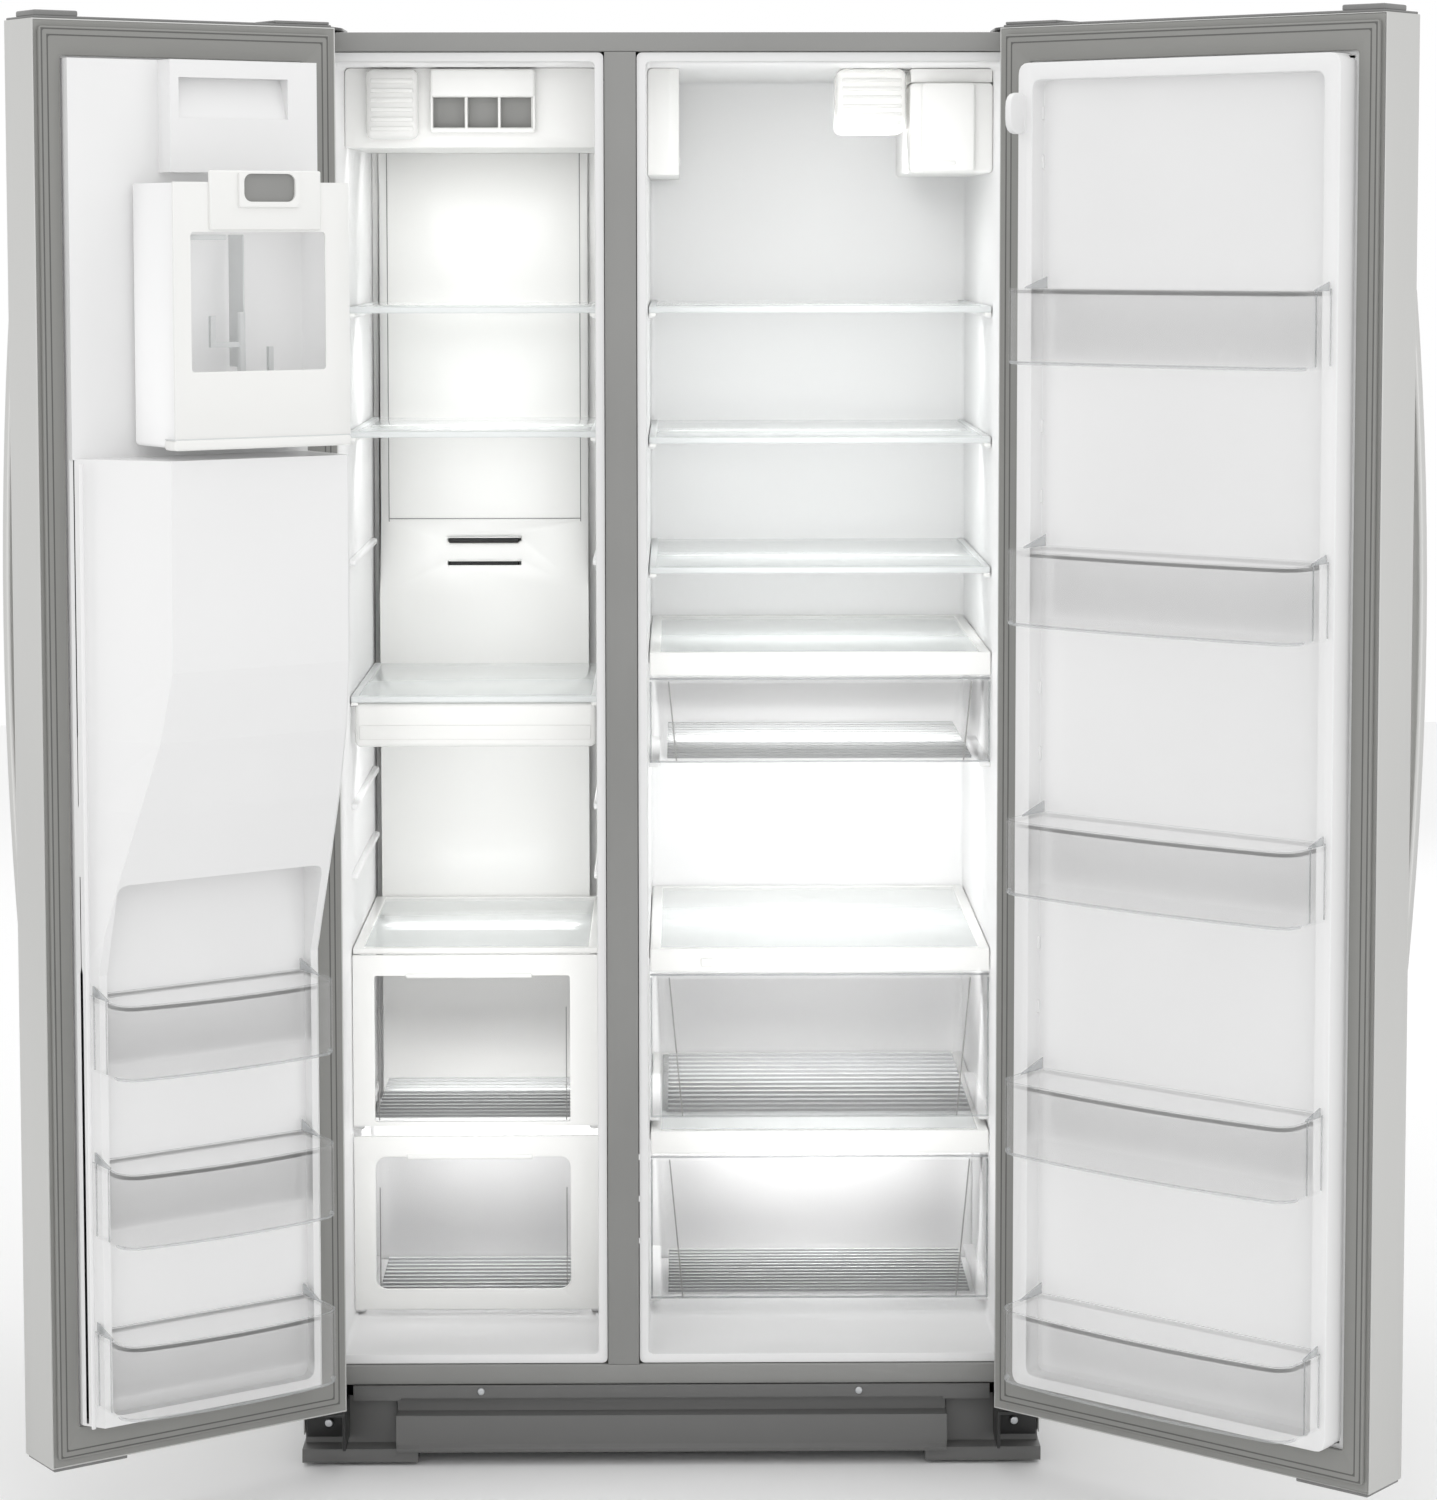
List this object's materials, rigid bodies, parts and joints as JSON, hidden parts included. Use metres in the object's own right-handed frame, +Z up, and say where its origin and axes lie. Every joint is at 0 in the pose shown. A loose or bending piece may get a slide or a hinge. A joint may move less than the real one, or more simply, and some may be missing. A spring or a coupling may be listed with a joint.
{
  "type": "side by side refrigerator",
  "caption": "Two-door side by side refrigerator standing open: white freezer and fresh-food compartments with shelves, drawers, door bins and an ice bin behind stainless doors.",
  "frame": {"origin": "middle of the footprint with the doors open, on the floor", "axes": "+Z up, +Y to the back of the cabinet, +X to the right seen from the front"},
  "size_m": [1.6498, 1.1344, 1.7621],
  "materials": {
    "gray_steel": "satin",
    "zinc_steel": "satin",
    "stainless": "brushed",
    "hinge_steel": "satin",
    "black_paint": "satin",
    "fin_aluminium": "satin",
    "liner_white": "satin",
    "white_plastic": "satin",
    "drawer_white": "frosted",
    "clear_plastic": "clear",
    "gray_plastic": "satin",
    "foot_plastic": "matte",
    "dark_plastic": "satin",
    "shelf_glass": "clear",
    "gasket_rubber": "matte"
  },
  "bodies": {
    "cabinet": {"cabinet_wrapper": "gray_steel", "face_frame": "gray_steel", "center_mullion": "gray_steel", "back_panel": "gray_steel", "base_pan": "zinc_steel", "freezer_liner": "liner_white", "fridge_liner": "liner_white", "base_grille": "gray_plastic", "top_hinge_left": "hinge_steel", "top_hinge_right": "hinge_steel", "bottom_hinge_left": "hinge_steel", "bottom_hinge_right": "hinge_steel", "front_leg_left": "foot_plastic", "front_leg_right": "foot_plastic", "compressor": "black_paint", "condenser": "fin_aluminium", "evaporator_cover": "white_plastic", "icemaker": "white_plastic", "air_diffuser": "white_plastic", "filter_housing": "white_plastic", "freezer_shelf_1": "shelf_glass", "freezer_shelf_2": "shelf_glass", "freezer_shelf_3": "shelf_glass", "fridge_shelf_1": "shelf_glass", "fridge_shelf_2": "shelf_glass", "fridge_shelf_3": "shelf_glass", "freezer_drawer_cover": "shelf_glass", "deli_cover": "shelf_glass", "crisper_cover_upper": "shelf_glass", "crisper_cover_lower": "shelf_glass"},
    "rollers": {"rear_rollers": "foot_plastic"},
    "condenser_fan": {"condenser_fan": "dark_plastic"},
    "evaporator_fan": {"evaporator_fan": "dark_plastic"},
    "filter_cover": {"filter_cover": "white_plastic"},
    "humidity_slider": {"humidity_slider": "white_plastic"},
    "freezer_drawer_upper": {"freezer_drawer_upper": "drawer_white"},
    "freezer_drawer_lower": {"freezer_drawer_lower": "drawer_white"},
    "deli_drawer": {"deli_drawer": "clear_plastic"},
    "crisper_upper": {"crisper_upper": "clear_plastic"},
    "crisper_lower": {"crisper_lower": "clear_plastic"},
    "freezer_door": {"freezer_door_skin": "stainless", "freezer_door_liner": "liner_white", "freezer_door_gasket": "gasket_rubber", "freezer_door_handle": "stainless", "dispenser_housing": "dark_plastic"},
    "fridge_door": {"fridge_door_skin": "stainless", "fridge_door_liner": "liner_white", "fridge_door_gasket": "gasket_rubber", "fridge_door_handle": "stainless"},
    "dispenser_paddle": {"dispenser_paddle": "dark_plastic"},
    "ice_bin": {"ice_bin": "clear_plastic"},
    "ice_auger": {"ice_auger": "zinc_steel"},
    "freezer_door_bin_1": {"freezer_door_bin_1": "clear_plastic"},
    "freezer_door_bin_2": {"freezer_door_bin_2": "clear_plastic"},
    "freezer_door_bin_3": {"freezer_door_bin_3": "clear_plastic"},
    "fridge_door_bin_1": {"fridge_door_bin_1": "clear_plastic"},
    "fridge_door_bin_2": {"fridge_door_bin_2": "clear_plastic"},
    "fridge_door_bin_3": {"fridge_door_bin_3": "clear_plastic"},
    "fridge_door_bin_4": {"fridge_door_bin_4": "clear_plastic"},
    "fridge_door_bin_5": {"fridge_door_bin_5": "clear_plastic"}
  },
  "joints": [
    {"name": "freezer_door_hinge", "type": "hinge", "parent": "cabinet", "child": "freezer_door", "pos_m": [-0.47804, -0.17276, 0.9], "axis": [0, 0, -1], "range_deg": [-146, 4]},
    {"name": "fridge_door_hinge", "type": "hinge", "parent": "cabinet", "child": "fridge_door", "pos_m": [0.39096, -0.17276, 0.9], "axis": [0, 0, 1], "range_deg": [-140.5, 4]},
    {"name": "freezer_drawer_upper_slide", "type": "slide", "parent": "cabinet", "child": "freezer_drawer_upper", "axis": [0, -1, 0], "range_m": [0, 0.215]},
    {"name": "freezer_drawer_lower_slide", "type": "slide", "parent": "cabinet", "child": "freezer_drawer_lower", "axis": [0, -1, 0], "range_m": [0, 0.215]},
    {"name": "deli_drawer_slide", "type": "slide", "parent": "cabinet", "child": "deli_drawer", "axis": [0, -1, 0], "range_m": [0, 0.215]},
    {"name": "crisper_upper_slide", "type": "slide", "parent": "cabinet", "child": "crisper_upper", "axis": [0, -1, 0], "range_m": [0, 0.215]},
    {"name": "crisper_lower_slide", "type": "slide", "parent": "cabinet", "child": "crisper_lower", "axis": [0, -1, 0], "range_m": [0, 0.215]},
    {"name": "humidity_slide", "type": "slide", "parent": "cabinet", "child": "humidity_slider", "axis": [1, 0, 0], "range_m": [0, 0.024]},
    {"name": "filter_cover_hinge", "type": "hinge", "parent": "cabinet", "child": "filter_cover", "pos_m": [0.30446, 0.04524, 1.592], "axis": [1, 0, 0], "range_deg": [0, 80]},
    {"name": "condenser_fan_spin", "type": "hinge", "parent": "cabinet", "child": "condenser_fan", "pos_m": [0.01846, 0.45924, 0.1243], "axis": [1, 0, 0], "continuous": true},
    {"name": "evaporator_fan_spin", "type": "hinge", "parent": "cabinet", "child": "evaporator_fan", "pos_m": [-0.29704, 0.48424, 1.237], "axis": [0, 1, 0], "continuous": true},
    {"name": "rollers_spin", "type": "hinge", "parent": "cabinet", "child": "rollers", "pos_m": [-0.04354, 0.47724, 0.02], "axis": [1, 0, 0], "continuous": true},
    {"name": "ice_bin_tilt", "type": "hinge", "parent": "freezer_door", "child": "ice_bin", "pos_m": [-0.50847, -0.39232, 1.274], "axis": [0.829, 0.5592, 0], "range_deg": [0, 20]},
    {"name": "ice_auger_spin", "type": "hinge", "parent": "ice_bin", "child": "ice_auger", "pos_m": [-0.53391, -0.3546, 1.322], "axis": [0, 0, 1], "continuous": true},
    {"name": "dispenser_paddle_hinge", "type": "hinge", "parent": "freezer_door", "child": "dispenser_paddle", "pos_m": [-0.6172, -0.28834, 1.187], "axis": [-0.829, -0.5592, 0], "range_deg": [0, 12], "stiffness_Nm_per_rad": 0.15},
    {"name": "freezer_door_bin_1_lift", "type": "slide", "parent": "freezer_door", "child": "freezer_door_bin_1", "axis": [0, 0, 1], "range_m": [0, 0.018]},
    {"name": "freezer_door_bin_2_lift", "type": "slide", "parent": "freezer_door", "child": "freezer_door_bin_2", "axis": [0, 0, 1], "range_m": [0, 0.018]},
    {"name": "freezer_door_bin_3_lift", "type": "slide", "parent": "freezer_door", "child": "freezer_door_bin_3", "axis": [0, 0, 1], "range_m": [0, 0.018]},
    {"name": "fridge_door_bin_1_lift", "type": "slide", "parent": "fridge_door", "child": "fridge_door_bin_1", "axis": [0, 0, 1], "range_m": [0, 0.025]},
    {"name": "fridge_door_bin_2_lift", "type": "slide", "parent": "fridge_door", "child": "fridge_door_bin_2", "axis": [0, 0, 1], "range_m": [0, 0.025]},
    {"name": "fridge_door_bin_3_lift", "type": "slide", "parent": "fridge_door", "child": "fridge_door_bin_3", "axis": [0, 0, 1], "range_m": [0, 0.025]},
    {"name": "fridge_door_bin_4_lift", "type": "slide", "parent": "fridge_door", "child": "fridge_door_bin_4", "axis": [0, 0, 1], "range_m": [0, 0.025]},
    {"name": "fridge_door_bin_5_lift", "type": "slide", "parent": "fridge_door", "child": "fridge_door_bin_5", "axis": [0, 0, 1], "range_m": [0, 0.025]}
  ]
}
